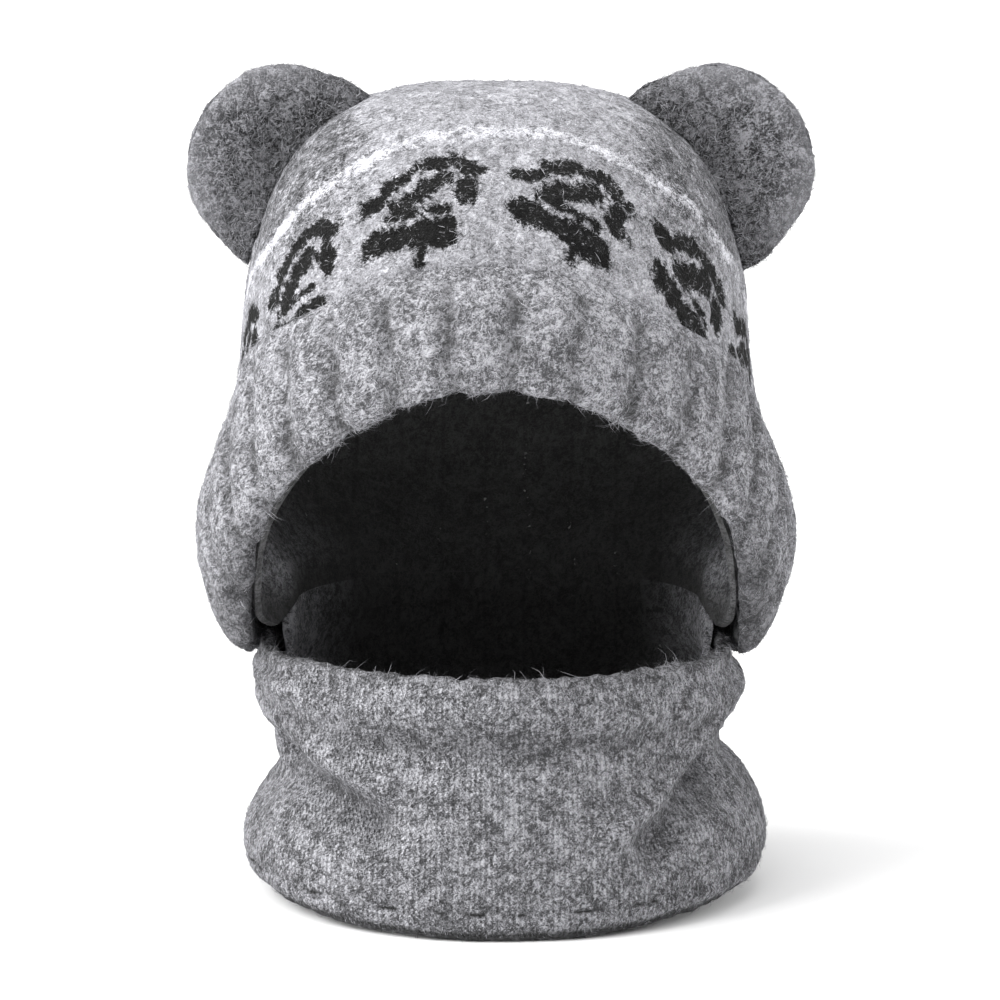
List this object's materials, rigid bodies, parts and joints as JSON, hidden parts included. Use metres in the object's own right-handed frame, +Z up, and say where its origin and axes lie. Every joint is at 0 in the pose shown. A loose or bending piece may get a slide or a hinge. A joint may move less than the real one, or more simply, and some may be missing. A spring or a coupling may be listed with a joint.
{
  "type": "knit balaclava hood with bear ears",
  "caption": "Cuffed knit hat with round padded ears, joined to a knit neck gaiter, with an open face and a fleece lining.",
  "frame": {"origin": "highest point of the hollow inside the lining, where the top of the head sits", "axes": "+Z up, -Y is the way the face looks, +X is on the picture's right"},
  "size_m": [0.2264, 0.2159, 0.303],
  "materials": {
    "knit": "light grey melange knit, brushed, with a pale stripe and dark knit-in motifs on the crown",
    "rib_knit": "light grey melange rib knit, folded double",
    "ear_plush": "dark grey melange knit, brushed and padded",
    "fleece": "black brushed fleece"
  },
  "bodies": {
    "root": {"crown": "knit", "cuff": "rib_knit", "ear_left": "ear_plush", "ear_right": "ear_plush", "neck": "knit", "lining_head": "fleece", "lining_neck": "fleece"}
  },
  "joints": []
}
